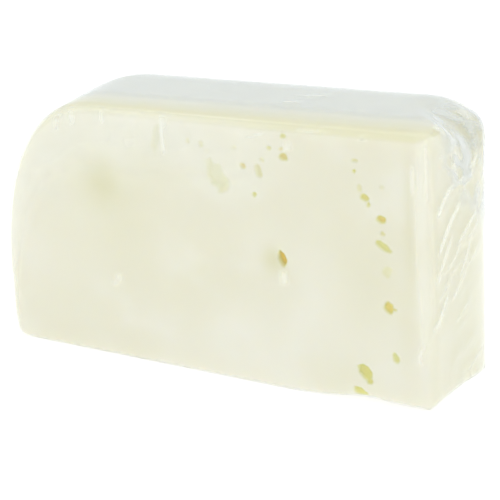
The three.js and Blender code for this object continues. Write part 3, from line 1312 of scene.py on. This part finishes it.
# The creases' milky whitening is partly a painted highlight on each fold.
SHOWN_CREASES = (
    Crease(Face.RIGHT, (2.6, 56.5), (12.0, 64.2), 0.16, 0.9, bow=1.3, milk_and_glint=0.65),
    Crease(Face.RIGHT, (8.0, 62.6), (27.5, 68.0), 0.18, 0.8, bow=-1.0, milk_and_glint=0.75),
    Crease(Face.RIGHT, (2.4, 45.5), (17.0, 59.5), 0.18, 0.9, bow=1.5, milk_and_glint=0.65),
    Crease(Face.RIGHT, (11.0, 45.0), (27.5, 54.5), 0.16, 0.8, bow=0.5, milk_and_glint=0.65),
    Crease(Face.RIGHT, (15.0, 44.6), (27.5, 51.0), 0.10, 0.6, milk_and_glint=0.4),
    Crease(Face.RIGHT, (13.0, 35.6), (20.0, 46.6), 0.15, 0.7, milk_and_glint=0.35),
    Crease(Face.RIGHT, (17.5, 38.4), (27.5, 45.4), 0.25, 1.4, milk_and_glint=0.05),
    Crease(Face.RIGHT, (1.4, 37.6), (11.0, 51.0), 0.15, 0.9, bow=0.6, milk_and_glint=0.45),
    Crease(Face.RIGHT, (8.0, 30.6), (18.0, 38.0), 0.14, 0.9, milk_and_glint=0.25),
    Crease(Face.RIGHT, (16.0, 27.6), (28.0, 32.6), 0.22, 1.4, milk_and_glint=0.05),
    Crease(Face.RIGHT, (0.4, 24.6), (8.4, 35.5), 0.14, 0.9, milk_and_glint=0.6),
    Crease(Face.RIGHT, (8.0, 14.0), (27.0, 15.0), 0.25, 2.0, bow=-0.6, milk_and_glint=0.05),
    Crease(Face.RIGHT, (12.0, 7.6), (27.0, 9.4), 0.22, 1.4, milk_and_glint=0.05),
    Crease(Face.FRONT, (0.8, 80.0), (0.6, 58.0), 0.06, 0.5, bow=0.2, milk_and_glint=0.6),
    Crease(Face.FRONT, (2.9, 67.0), (2.8, 30.0), 0.06, 0.45, milk_and_glint=0.6),
    Crease(Face.FRONT, (4.0, 73.0), (4.1, 63.5), 0.06, 0.35, milk_and_glint=0.4),
    Crease(Face.FRONT, (3.8, 15.5), (2.4, 23.5), 0.08, 0.5, milk_and_glint=0.6),
    Crease(Face.FRONT, (74.8, 81.5), (75.8, 64.5), 0.10, 0.55, bow=-0.5, milk_and_glint=1.0),
    Crease(Face.FRONT, (85.5, 72.5), (87.0, 66.0), 0.10, 1.1, milk_and_glint=0.6),
    Crease(Face.FRONT, (49.5, 75.5), (44.0, 78.6), 0.10, 0.4, bow=1.0, milk_and_glint=0.5),
    Crease(Face.FRONT, (37.6, 72.0), (35.0, 78.8), 0.10, 0.4, bow=-0.9, milk_and_glint=0.5),
    Crease(Face.FRONT, (35.0, 78.4), (26.0, 78.8), 0.08, 0.4, milk_and_glint=0.4),
    Crease(Face.FRONT, (24.6, 74.5), (24.2, 79.0), 0.10, 0.4, milk_and_glint=0.5),
    Crease(Face.FRONT, (19.0, 77.0), (16.0, 79.0), 0.10, 0.4, bow=0.4, milk_and_glint=0.6),
    Crease(Face.FRONT, (98.6, 24.0), (95.0, 29.5), 0.10, 1.0, milk_and_glint=0.5),
    Crease(Face.FRONT, (41.8, 38.4), (41.2, 33.0), 0.10, 0.5, milk_and_glint=0.6),
    Crease(Face.TOP, (68.0, 20.5), (58.0, 16.0), 0.25, 0.7, milk_and_glint=0.8),
    Crease(Face.TOP, (47.0, 14.0), (39.5, 16.5), 0.3, 0.8, bow=0.5, milk_and_glint=1.0),
    Crease(Face.TOP, (45.5, 19.0), (33.0, 22.0), 0.25, 0.8, milk_and_glint=0.9),
    Crease(Face.TOP, (57.0, 24.0), (44.0, 26.0), 0.2, 0.7, milk_and_glint=0.7),
)


@dataclass(frozen=True)
class CreaseRun:
    """Finer folds at seeded random places on one face. Each span is a range to draw from.

    Attributes:
        face: The side they lie on.
        count: How many there are.
        first: Where they start, in the face's first coordinate.
        second: Where they start, in its second coordinate.
        reach: How far they run along the first coordinate.
        slope: Draws how far they rise in the second for each millimetre of the first.
        high: Their height.
        wide: Their half-width.
        bow: Their bow.
        milk_and_glint: How milky they are; their whiteness is partly a painted highlight on the
            folds.
    """

    face: Face
    count: int
    first: Span
    second: Span
    reach: Span
    slope: Callable[[np.random.Generator], float]
    high: Span
    wide: Span
    bow: Span
    milk_and_glint: Span = (0.05, 0.3)

    def draw(self, rng: np.random.Generator) -> list[Crease]:
        """Draws the folds.

        Args:
            rng: The random numbers, which are taken in the order of the attributes.

        Returns:
            One crease for each.
        """
        made: list[Crease] = []
        for _ in range(self.count):
            a, b = rng.uniform(*self.first), rng.uniform(*self.second)
            reach, slope = rng.uniform(*self.reach), self.slope(rng)
            end = (a + reach, b + slope * reach)
            high, wide = rng.uniform(*self.high), rng.uniform(*self.wide)
            bow, milk_and_glint = rng.uniform(*self.bow), rng.uniform(*self.milk_and_glint)
            made.append(Crease(self.face, (a, b), end, high, wide, bow, milk_and_glint))
        return made


CREASE_RUNS = (
    CreaseRun(
        Face.RIGHT,
        count=22,
        first=(2.0, 16.0),
        second=(4.0, 60.0),
        reach=(7.0, 14.0),
        slope=lambda rng: rng.uniform(0.15, 0.8),
        high=(0.04, 0.12),
        wide=(0.5, 1.0),
        bow=(-0.8, 1.2),
    ),
    CreaseRun(
        Face.BACK,
        count=40,
        first=(8.0, 128.0),
        second=(2.0, 60.0),
        reach=(8.0, 22.0),
        slope=lambda rng: rng.normal(0.0, 0.5),
        high=(0.1, 0.4),
        wide=(0.6, 1.3),
        bow=(-1.5, 1.5),
    ),
)


@dataclass(frozen=True)
class Crumple:
    """The sharp facets at the far top corner, milky, with painted glints on their crests.
    Millimetres.

    Attributes:
        above: Distance back and height of a point on the slanted line that it lies above.
        line_slope: Weights of the distances back and down in the distance below that line.
        low_end: Heights between which it begins.
        front_end: Distances back between which it begins.
        settling: Distances back between which its facets settle lower.
        settled: The share of their height that they lose there.
        cells: Sides of the coarse and the fine facets.
        highs: Heights of the coarse and the fine facets.
        crests: Shares of the coarse and the fine facets in what counts as a crest.
        crest_rise: The crest values between which it turns milky.
        milk_and_glint: How milky it is between its crests, and how much whiter it is on them, as a
            painted glint.
    """

    above: Span = (8.0, 76.0)
    line_slope: Span = (0.6, 0.75)
    low_end: Span = (44.0, 60.0)
    front_end: Span = (0.5, 5.0)
    settling: Span = (17.0, 25.0)
    settled: float = 0.75
    cells: Span = (4.2, 2.1)
    highs: Span = (0.30, 0.16)
    crests: Span = (0.6, 0.7)
    crest_rise: Span = (0.05, 0.75)
    milk_and_glint: Span = (0.12, 0.62)

    def below_line(self, inward: Array, up: Array) -> Array:
        """Distance below the slanted line, which falls towards the back.

        Args:
            inward: Distances back from the front.
            up: Heights.

        Returns:
            The distance at each place, below 0 above the line.
        """
        back, high = self.above
        across, down = self.line_slope
        return down * (high - up) - across * (inward - back)

    def field(self, inward: Array, up: Array, sideways: Array, seed: int) -> tuple[Array, Array]:
        """Its height, and its milkiness with painted glints.

        Args:
            inward: Distances back from the front.
            up: Heights.
            sideways: How far the film faces the right-hand end at each place.
            seed: Chooses the facets.

        Returns:
            The height in millimetres, and the milkiness with painted glints, from 0 to 1.
        """
        share = smooth_step(0.0, 0.5, sideways) * smooth_step(*self.front_end, inward)
        share *= smooth_step(12.0, 3.0, self.below_line(inward, up))
        share *= smooth_step(*self.low_end, up)
        settled = 1.0 - self.settled * smooth_step(*self.settling, inward)
        coarse = facets(inward, up, self.cells[0], seed + 3)
        fine = facets(inward + 0.6 * up, up - 0.3 * inward, self.cells[1], seed + 9)
        height = share * settled * (self.highs[0] * coarse + self.highs[1] * fine)
        # The facets' crests are whitened further, as painted glints.
        crest = smooth_step(*self.crest_rise, self.crests[1] * fine + self.crests[0] * coarse)
        return height, share * (self.milk_and_glint[0] + self.milk_and_glint[1] * crest)


@dataclass(frozen=True)
class Film:
    """One sheet of clear stretch film round the cheese, open along a seam underneath.

    Attributes:
        form: The wedge's form.
        finish: The film's finish.
        corner_crumple: The crumple at the far top corner.
        stand_off: How far the film stands off the cheese's form.
        wall: Its thickness.
        seam_length: Length of the opening underneath.
        seam_width: Width of that opening at its middle.
        station_count: Profiles along the length.
        counts: Points in each stretch of a profile.
        left_rings: Rings in the left end face.
        right_rings: Rings in the right end face.
        end_gain: How much closer the stations are at the right-hand end.
        fold_gain: How much closer they are by the front's bright fold.
        row_gain: How much closer the rows are near the top of the front.
        seed: Chooses the random patterns.
    """

    form: WedgeForm
    finish: FilmFinish = FilmFinish()
    corner_crumple: Crumple = Crumple()
    stand_off: float = 0.35
    wall: float = 0.06
    seam_length: float = 70.0
    seam_width: float = 3.0
    station_count: int = 106
    counts: ProfileCounts = ProfileCounts(front=118, top=20, fall=24, back=46, base=30, corner=4)
    left_rings: int = 8
    right_rings: int = 50
    end_gain: float = 1.3
    fold_gain: float = 2.2
    row_gain: float = 0.9
    seed: int = 23

    def station_density(self, x: Array) -> Array:
        """Closer stations at the right-hand end and by the front's bright fold.

        Args:
            x: Places along the length.

        Returns:
            The wanted closeness at each place.
        """
        from_tip = self.form.right - x
        by_end = smooth_step(12.0, 5.0, from_tip)
        return 1.0 + self.end_gain * by_end + self.fold_gain * plateau(BRIGHT_FOLD, from_tip)

    def row_density(self, share: Array) -> Array:
        """Closer rows near the top of the front."""
        return 1.0 + self.row_gain * smooth_step(0.55, 0.75, share)

    def coordinates(self, points: Array) -> Places:
        """Each face's two coordinates at every point.

        Args:
            points: Points of the film, one row each.

        Returns:
            For each face, the two that its words name.
        """
        from_tip = self.form.right - points[:, 0]
        inward = points[:, 1] - self.form.front
        up = points[:, 2] - self.form.lift
        return {
            Face.FRONT: (from_tip, up),
            Face.RIGHT: (inward, up),
            Face.TOP: (from_tip, inward),
            Face.BACK: (from_tip, up),
            Face.BASE: (from_tip, inward),
        }

    def masks(self, normal: Array) -> Masks:
        """How far each point faces each way.

        Args:
            normal: Outward unit normals, one row each.

        Returns:
            For each face, a share from 0 to 1 at every point.
        """
        return {
            Face.FRONT: smooth_step(0.5, 0.85, -normal[:, 1]),
            Face.RIGHT: smooth_step(0.35, 0.8, normal[:, 0]),
            Face.TOP: smooth_step(0.5, 0.85, normal[:, 2]),
            Face.BACK: smooth_step(0.35, 0.8, normal[:, 1]),
            Face.BASE: smooth_step(0.6, 0.9, -normal[:, 2]),
        }

    def creased(self, masks: Masks, places: Places) -> tuple[Array, Array]:
        """All the folds. They lie flatter at the back of the narrow face.

        Args:
            masks: How far each point faces each way.
            places: Each face's coordinates.

        Returns:
            Their height in millimetres, and their milkiness with painted highlights, from 0 to 1.
        """
        inward = places[Face.RIGHT][0]
        height, milk_and_glint = np.zeros_like(inward), np.zeros_like(inward)
        rng = np.random.default_rng(self.seed)
        finer = [crease for run in CREASE_RUNS for crease in run.draw(rng)]
        for crease in (*SHOWN_CREASES, *finer):
            share = crease.field(*places[crease.face]) * masks[crease.face]
            height += crease.high * share
            milk_and_glint = np.maximum(milk_and_glint, crease.milk_and_glint * share)
        flatter = 1.0 - 0.8 * masks[Face.RIGHT] * smooth_step(19.0, 27.0, inward)
        return height * flatter, milk_and_glint

    def gathers(self, points: Array, masks: Masks, places: Places) -> tuple[Array, Array]:
        """Pleats at the foot of the narrow face, and milky folds underneath.

        Args:
            points: The even film's points.
            masks: How far each point faces each way.
            places: Each face's coordinates.

        Returns:
            Their height in millimetres, and their milkiness from 0 to 1.
        """
        inward, up = places[Face.RIGHT]
        foot = smooth_step(12.0, 1.0, up) * masks[Face.RIGHT] * smooth_step(3.0, 10.0, inward)
        pleat = 1.0 - np.abs(lattice_noise(points * [1.0, 1.0, 0.3], 3.0, self.seed + 5))
        fold = 1.0 - np.abs(lattice_noise(points * [1.0, 0.2, 1.0], 4.0, self.seed + 7))
        milk_and_glint = np.maximum(0.3 * foot * pleat**4, 0.3 * masks[Face.BASE] * fold**4)
        return 0.2 * foot * pleat**3, milk_and_glint

    def front_milk_and_glint(self, points: Array, masks: Masks, places: Places) -> tuple[Array, Array]:
        """The front's soft bright upright line, its cloudy shoulder, and the fringe below its top
        edge, with painted highlights on the line and the fringe.

        The fringe is of short upright streaks, so its noise is stretched along Z.

        Args:
            points: The even film's points.
            masks: How far each point faces each way.
            places: Each face's coordinates.

        Returns:
            The fringe's height in millimetres, and the whitening of all three from 0 to 1.
        """
        from_tip, up = places[Face.FRONT]
        below_crown = self.form.crown(points[:, 0], 0.0) - up
        upright = smooth_step(3.6, 2.4, from_tip) * smooth_step(12.0, 34.0, up)
        upright *= masks[Face.FRONT] * smooth_step(79.0, 72.0, up)
        cloudy = 0.5 + 0.5 * layered_noise(points, 9.0, self.seed + 15)
        shoulder = smooth_step(26.0, 72.0, from_tip) * smooth_step(26.0, 8.0, below_crown)
        shoulder_haze = 0.62 * masks[Face.FRONT] * shoulder * (0.6 + 0.4 * cloudy)
        streaky = lattice_noise(points * [1.0, 0.0, 0.09], 1.9, self.seed + 17)
        fringe = smooth_step(48.0, 66.0, from_tip) * smooth_step(15.0, 3.0, below_crown)
        fringe *= masks[Face.FRONT] * smooth_step(-0.3, 1.0, streaky)
        return 0.04 * fringe, np.maximum(np.maximum(0.34 * upright, shoulder_haze), 0.75 * fringe)

    def relief(self, points: Array, normal: Array) -> tuple[Array, Array]:
        """How far the film stands proud, and how milky it is with painted highlights, at every
        point.

        Args:
            points: The even film's points.
            normal: Its outward normals.

        Returns:
            The height in millimetres, and the milkiness with painted highlights from 0 to 1.
        """
        masks, places = self.masks(normal), self.coordinates(points)
        height, milk_and_glint = self.creased(masks, places)
        for rise, milk in (
            self.corner_crumple.field(*places[Face.RIGHT], normal[:, 0], self.seed),
            self.gathers(points, masks, places),
            self.front_milk_and_glint(points, masks, places),
        ):
            height += rise
            milk_and_glint = np.maximum(milk_and_glint, milk)
        above_base = 1.0 - masks[Face.BASE]
        height += 0.07 * layered_noise(points, 12.0, self.seed + 1) * above_base
        return height * above_base, milk_and_glint

    def painted_reflection(self, points: Array, normal: Array) -> Array:
        """A painted grey reflection: how greyed the film is by the surroundings that it reflects
        from above.

        The level top is greyed most. At the far top corner it breaks up into facets.

        Args:
            points: The even film's points.
            normal: Its outward normals.

        Returns:
            The painted greying at each point, from 0 to 1.
        """
        inward, up = self.coordinates(points)[Face.RIGHT]
        top = smooth_step(0.45, 0.85, normal[:, 2]) * smooth_step(5.0, 14.0, inward)
        far = smooth_step(0.1, 0.5, normal[:, 0]) * smooth_step(0.0, 14.0, inward)
        far *= smooth_step(15.0, 4.0, self.corner_crumple.below_line(inward, up))
        facet = smooth_step(-0.5, 0.5, facets(inward + 0.4 * up, up, 2.6, self.seed + 21))
        level = 0.48 * top * (1.0 - smooth_step(0.25, 0.6, normal[:, 0]) * (1.0 - facet))
        level = np.maximum(level, 0.75 * far * facet)
        return level * (0.94 + 0.06 * layered_noise(points, 16.0, 5))

    def seam(self, surface: GridSurface) -> Array:
        """Opens the seam underneath: the two rows next to the middle move to a slim lens shape.

        Args:
            surface: The film's grid, whose points are moved.

        Returns:
            The numbers of the quads inside the opening.
        """
        counts = self.counts
        start = counts.front + 3 * counts.corner + counts.top + counts.fall + counts.back
        grid = surface.points[:-2].reshape(surface.stations, surface.around, 3)
        middle = start + int(np.argmin(np.abs(grid[surface.stations // 2, start:, 1])))
        share = grid[:, middle, 0] / (self.seam_length / 2.0)
        inside = np.abs(share) < 1.0
        half = self.seam_width / 2.0 * np.sqrt(np.clip(1.0 - share**2, 0.02, 1.0))
        grid[inside, middle, 1] = half[inside]
        grid[inside, middle + 1, 1] = -half[inside]
        surface.points[:-2] = grid.reshape(-1, 3)
        station = np.arange(surface.stations - 1)
        both = inside[:-1] & inside[1:]
        return (station * surface.around + middle)[both]

    def build(self) -> bpy.types.Object:
        """Returns:
            The finished film.
        """
        form, grow = self.form, self.stand_off
        x = form.stations(self.station_count, grow, self.station_density)
        rows = spaced(0.0, 1.0, self.counts.front + 1, self.row_density)[:-1]
        profiles = form.profiles(x, rows, self.counts, grow)
        surface = GridSurface(profiles, self.left_rings, self.right_rings)
        surface.points = form.worn(form.splayed(surface.points), grow)
        normal = surface.normals()
        height, milk_and_glint = self.relief(surface.points, normal)
        painted_reflection = self.painted_reflection(surface.points, normal)
        surface.points = surface.points + normal * height[:, None]
        opening = self.seam(surface)
        surface.points[:, 2] = np.maximum(surface.points[:, 2], 2.0 * self.wall)
        piece = surface.to_object("film_sheet", form.middle, opening)
        # Milky creases, whose whiteness is partly a painted highlight.
        paint(piece, "milk_and_glint", milk_and_glint)
        # The painted grey reflection on the level top and at the far top corner.
        paint(piece, "painted_reflection", painted_reflection)
        piece.data.materials.append(self.finish.build())
        solid = piece.modifiers.new("wall", "SOLIDIFY")
        solid.thickness = self.wall * MM
        solid.offset = -1.0
        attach(piece, "root")
        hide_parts("film_wrap")
        log.info("film_sheet: %d faces before its wall", len(piece.data.polygons))
        return piece


# ---------------------------------------------------------------------------------------------
# The studio
# ---------------------------------------------------------------------------------------------


@dataclass(frozen=True)
class SoftBox:
    """A square studio light. Metres and watts.

    Attributes:
        name: The light's name.
        place: Where it stands.
        aim: The point that it looks at.
        side: Its side.
        power: Its power.
    """

    name: str
    place: tuple[float, float, float]
    aim: tuple[float, float, float]
    side: float
    power: float

    def build(self) -> None:
        """Adds the light.

        Its own -Z axis is the way it shines, so that axis is turned towards its aim.
        """
        data = bpy.data.lights.new(self.name, "AREA")
        data.size = self.side
        data.energy = self.power
        made = bpy.data.objects.new(self.name, data)
        made.location = self.place
        toward = Vector(self.aim) - Vector(self.place)
        made.rotation_euler = toward.to_track_quat("-Z", "Y").to_euler()
        bpy.context.scene.collection.objects.link(made)


SOFT_BOXES = (
    SoftBox("overhead_box", place=(-0.1, -0.1, 1.1), aim=(0.0, 0.0, 0.0), side=0.8, power=1.6),
    SoftBox("front_box", place=(-0.75, -0.95, 0.75), aim=(0.0, 0.0, 0.04), side=0.9, power=1.0),
    SoftBox("side_box", place=(1.1, -0.35, 0.55), aim=(0.0, 0.0, 0.04), side=0.6, power=0.45),
)


@dataclass(frozen=True)
class Studio:
    """A white floor, a pale surround, soft boxes and the camera. Metres and degrees.

    Attributes:
        surround: The surround's colour.
        surround_strength: Its brightness.
        floor_side: The floor's side.
        floor_tone: The floor's colour.
        floor_dullness: The floor's roughness.
        floor_light: The colour of the light that the floor gives by itself.
        floor_glow: How strong that light is. It keeps the wedge's shadow faint.
        azimuth: The camera's turn to the right, seen from above.
        elevation: The camera's angle above the floor.
        roll: Its turn about its own line of sight.
        distance: From the camera to its target.
        lens: The focal length, in millimetres.
        nearest: The nearest distance that it shows.
        target: The point that it looks at.
    """

    surround: Colour = (0.972, 0.995, 0.99, 1.0)
    surround_strength: float = 0.92
    floor_side: float = 6.0
    floor_tone: Colour = (0.60, 0.60, 0.60, 1.0)
    floor_dullness: float = 0.9
    floor_light: Colour = (1.0, 1.0, 1.0, 1.0)
    floor_glow: float = 0.58
    azimuth: float = 29.95
    elevation: float = 25.3
    roll: float = -5.5
    distance: float = 0.3386
    lens: float = 84.6
    nearest: float = 0.01
    target: tuple[float, float, float] = (0.0059, -0.0045, 0.0344)

    def build(self) -> None:
        """Builds the floor, the light and the camera.

        Colours are shown as they are worked out, without a film-like tone curve.
        """
        self.floor()
        self.world()
        for box in SOFT_BOXES:
            box.build()
        self.camera()
        bpy.context.scene.view_settings.view_transform = "Standard"

    def floor(self) -> None:
        """Makes a level square at Z = 0, as part of the stage.

        Its own glow stands in for the light of a wide white room.
        """
        half = self.floor_side / 2.0
        mesh = bpy.data.meshes.new("floor")
        mesh.from_pydata(
            [(-half, -half, 0.0), (half, -half, 0.0), (half, half, 0.0), (-half, half, 0.0)],
            [],
            [(0, 1, 2, 3)],
        )
        made = bpy.data.objects.new("floor", mesh)
        bpy.context.scene.collection.objects.link(made)
        material, _, shader = new_material("floor_white")
        shader.inputs["Base Color"].default_value = self.floor_tone
        shader.inputs["Roughness"].default_value = self.floor_dullness
        shader.inputs["Emission Color"].default_value = self.floor_light
        shader.inputs["Emission Strength"].default_value = self.floor_glow
        mesh.materials.append(material)

    def world(self) -> None:
        """Lights the scene evenly from all round.

        The surround's colour is also what the film reflects at glancing angles.
        """
        world = bpy.data.worlds.new("surround")
        world.use_nodes = True
        graph = Graph(world.node_tree)
        light = graph.node("ShaderNodeBackground")
        output = graph.node("ShaderNodeOutputWorld")
        light.inputs["Color"].default_value = self.surround
        light.inputs["Strength"].default_value = self.surround_strength
        graph.put(output.inputs["Surface"], light.outputs[0])
        bpy.context.scene.world = world

    def camera(self) -> None:
        """Adds a long lens that looks down at the wedge from the right.

        The camera's axes are worked out from its azimuth and elevation, and then rolled.
        """
        turn, rise, roll = (math.radians(a) for a in (self.azimuth, self.elevation, self.roll))
        back = Vector(
            (math.sin(turn) * math.cos(rise), -math.cos(turn) * math.cos(rise), math.sin(rise))
        )
        right = Vector((math.cos(turn), math.sin(turn), 0.0))
        up = back.cross(right)
        across = right * math.cos(roll) + up * math.sin(roll)
        above = up * math.cos(roll) - right * math.sin(roll)
        data = bpy.data.cameras.new("camera")
        data.lens = self.lens
        data.clip_start = self.nearest
        made = bpy.data.objects.new("camera", data)
        turned = Matrix((across, above, back)).transposed().to_4x4()
        made.matrix_world = Matrix.Translation(Vector(self.target) + back * self.distance) @ turned
        bpy.context.scene.collection.objects.link(made)
        bpy.context.scene.camera = made


def main() -> None:
    """Builds the wedge, its film and the studio.

    The film is said to rest on the cheese, so the cheese comes first.
    """
    logging.basicConfig(level=logging.INFO, format="%(message)s")
    form = WedgeForm()
    Cheese(form).build()
    Film(form).build()
    Studio().build()


if __name__ == "__main__":
    main()
